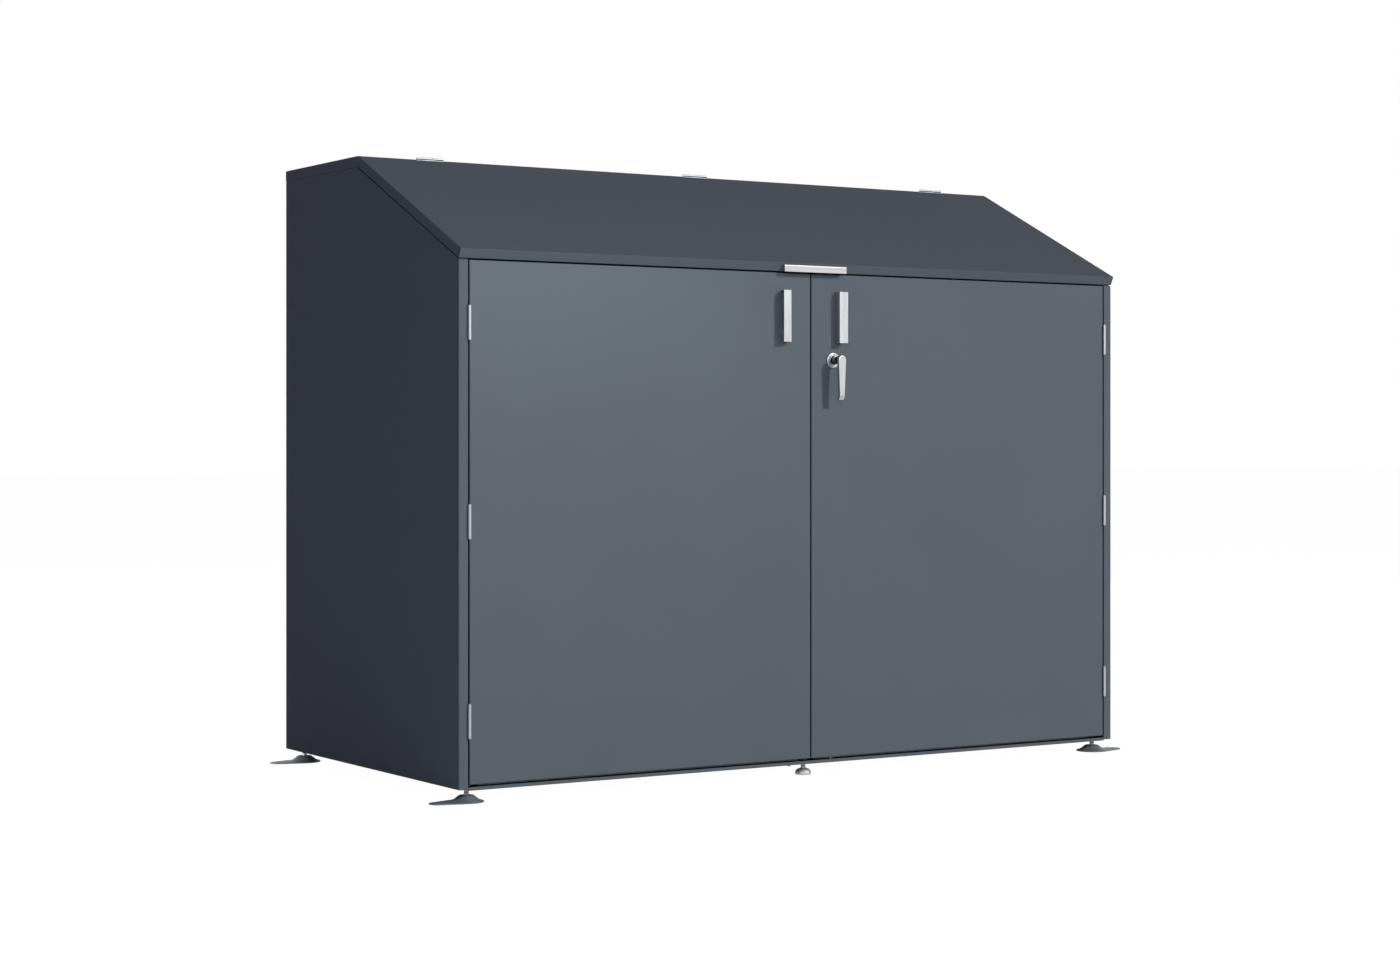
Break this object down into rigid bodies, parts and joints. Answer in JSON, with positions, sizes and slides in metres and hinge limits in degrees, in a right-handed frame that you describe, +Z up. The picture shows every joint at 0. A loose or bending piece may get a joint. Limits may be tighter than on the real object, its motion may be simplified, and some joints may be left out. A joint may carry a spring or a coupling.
{
  "type": "bicycle locker",
  "caption": "Free-standing sheet-steel bicycle locker with a flat rear roof, a sloping hinged lid, front doors with pulls, a lever lock and levelling feet with anchor tongues",
  "frame": {"origin": "middle of the bounding box's underside, on the ground under the ground plates", "axes": "+X across the front to the right, +Y from the doors to the rear panels, +Z up"},
  "size_m": [2.116, 1.0505, 1.5713],
  "materials": {
    "anthracite_paint": "anthracite powder coat, fine satin",
    "zinc_steel": "zinc-plated",
    "hinge_steel": "satin",
    "satin_steel": "satin brushed",
    "foot_paint": "dark powder coat",
    "bright_foot": "zinc-plated",
    "black_rubber": "matte",
    "spring_black": "gloss black",
    "piston_chrome": "polished"
  },
  "bodies": {
    "cabinet": {"left_side_panel": "anthracite_paint", "right_side_panel": "anthracite_paint", "left_rear_panel": "anthracite_paint", "right_rear_panel": "anthracite_paint", "roof_panel": "anthracite_paint", "ridge_beam": "zinc_steel", "floor_tray": "anthracite_paint", "underfloor_channel": "zinc_steel", "door_stop": "zinc_steel", "foot_plates": "zinc_steel", "foot_lock_nuts": "zinc_steel", "left_side_rib": "zinc_steel", "right_side_rib": "zinc_steel", "left_door_fixed_leaves": "hinge_steel", "right_door_fixed_leaves": "hinge_steel", "left_door_hinge_pins": "hinge_steel", "right_door_hinge_pins": "hinge_steel", "lid_fixed_leaves": "hinge_steel", "lid_hinge_pins": "hinge_steel", "spring_side_brackets": "zinc_steel"},
    "door_left": {"left_door": "anthracite_paint", "left_door_rib": "zinc_steel", "left_door_pull": "satin_steel", "left_door_moving_leaves": "hinge_steel", "left_door_bolt_guides": "zinc_steel"},
    "door_right": {"right_door": "anthracite_paint", "right_door_rib": "zinc_steel", "right_door_pull": "satin_steel", "right_door_moving_leaves": "hinge_steel", "lock_rosette": "satin_steel", "lock_case": "zinc_steel", "rod_guides": "zinc_steel"},
    "lid_wing": {"lid": "anthracite_paint", "lid_ribs": "zinc_steel", "lid_keepers": "zinc_steel", "lid_pull": "satin_steel", "lid_buffers": "black_rubber", "lid_moving_leaves": "hinge_steel", "spring_lid_brackets": "zinc_steel"},
    "bolt_upper": {"upper_bolt": "zinc_steel"},
    "bolt_lower": {"lower_bolt": "zinc_steel"},
    "lever": {"lock_lever": "satin_steel", "lock_spindle": "zinc_steel", "lock_pinion": "zinc_steel"},
    "rod_upper": {"upper_rod": "zinc_steel"},
    "rod_lower": {"lower_rod": "zinc_steel"},
    "cylinder_left": {"left_spring_cylinder": "spring_black"},
    "piston_left": {"left_spring_piston": "piston_chrome"},
    "cylinder_right": {"right_spring_cylinder": "spring_black"},
    "piston_right": {"right_spring_piston": "piston_chrome"},
    "foot_front_left": {"front_left_stem": "zinc_steel", "front_left_ground_plate": "foot_paint"},
    "foot_front_right": {"front_right_stem": "zinc_steel", "front_right_ground_plate": "foot_paint"},
    "foot_front_middle": {"front_middle_foot": "bright_foot"},
    "foot_rear_left": {"rear_left_stem": "zinc_steel", "rear_left_ground_plate": "foot_paint"},
    "foot_rear_right": {"rear_right_stem": "zinc_steel", "rear_right_ground_plate": "foot_paint"},
    "foot_rear_middle": {"rear_middle_foot": "bright_foot"}
  },
  "joints": [
    {"name": "left_door_hinge", "type": "hinge", "parent": "cabinet", "child": "door_left", "pos_m": [-0.97325, -0.48535, 0.66], "axis": [0, 0, -1], "range_deg": [0, 180]},
    {"name": "right_door_hinge", "type": "hinge", "parent": "cabinet", "child": "door_right", "pos_m": [0.97325, -0.48535, 0.66], "axis": [0, 0, 1], "range_deg": [0, 180]},
    {"name": "lid_hinge", "type": "hinge", "parent": "cabinet", "child": "lid_wing", "pos_m": [0, 0.07175, 1.56805], "axis": [-1, 0, 0], "range_deg": [0, 60]},
    {"name": "upper_bolt_slide", "type": "slide", "parent": "door_left", "child": "bolt_upper", "axis": [0, 0, 1], "range_m": [0, 0.022]},
    {"name": "lower_bolt_slide", "type": "slide", "parent": "door_left", "child": "bolt_lower", "axis": [0, 0, -1], "range_m": [0, 0.022]},
    {"name": "lever_turn", "type": "hinge", "parent": "door_right", "child": "lever", "pos_m": [0.0675, -0.50125, 1.0545], "axis": [0, -1, 0], "range_deg": [0, 90]},
    {"name": "upper_rod_slide", "type": "slide", "parent": "door_right", "child": "rod_upper", "axis": [0, 0, 1], "range_m": [0, 0.0189]},
    {"name": "lower_rod_slide", "type": "slide", "parent": "door_right", "child": "rod_lower", "axis": [0, 0, -1], "range_m": [0, 0.0189]},
    {"name": "left_spring_swing", "type": "hinge", "parent": "cabinet", "child": "cylinder_left", "pos_m": [-0.956, 0.15875, 1.393], "axis": [-1, 0, 0], "range_deg": [0, 25.05]},
    {"name": "left_spring_stroke", "type": "slide", "parent": "cylinder_left", "child": "piston_left", "axis": [0, -0.9564, 0.2921], "range_m": [0, 0.11486]},
    {"name": "right_spring_swing", "type": "hinge", "parent": "cabinet", "child": "cylinder_right", "pos_m": [0.956, 0.15875, 1.393], "axis": [-1, 0, 0], "range_deg": [0, 25.05]},
    {"name": "right_spring_stroke", "type": "slide", "parent": "cylinder_right", "child": "piston_right", "axis": [0, -0.9564, 0.2921], "range_m": [0, 0.11486]},
    {"name": "front_left_foot_slide", "type": "slide", "parent": "cabinet", "child": "foot_front_left", "axis": [0, 0, -1], "range_m": [-0.01, 0.012]},
    {"name": "front_middle_foot_slide", "type": "slide", "parent": "cabinet", "child": "foot_front_middle", "axis": [0, 0, -1], "range_m": [-0.01, 0.012]},
    {"name": "front_right_foot_slide", "type": "slide", "parent": "cabinet", "child": "foot_front_right", "axis": [0, 0, -1], "range_m": [-0.01, 0.012]},
    {"name": "rear_left_foot_slide", "type": "slide", "parent": "cabinet", "child": "foot_rear_left", "axis": [0, 0, -1], "range_m": [-0.01, 0.012]},
    {"name": "rear_middle_foot_slide", "type": "slide", "parent": "cabinet", "child": "foot_rear_middle", "axis": [0, 0, -1], "range_m": [-0.01, 0.012]},
    {"name": "rear_right_foot_slide", "type": "slide", "parent": "cabinet", "child": "foot_rear_right", "axis": [0, 0, -1], "range_m": [-0.01, 0.012]}
  ],
  "couplings": [
    {"joint": "upper_rod_slide", "follows": "lever_turn", "m_per_rad": 0.012},
    {"joint": "lower_rod_slide", "follows": "lever_turn", "m_per_rad": 0.012},
    {"joint": "left_spring_swing", "follows": "lid_hinge", "ratio": 0.41732},
    {"joint": "left_spring_stroke", "follows": "lid_hinge", "m_per_rad": 0.10963},
    {"joint": "right_spring_swing", "follows": "lid_hinge", "ratio": 0.41732},
    {"joint": "right_spring_stroke", "follows": "lid_hinge", "m_per_rad": 0.10963}
  ]
}
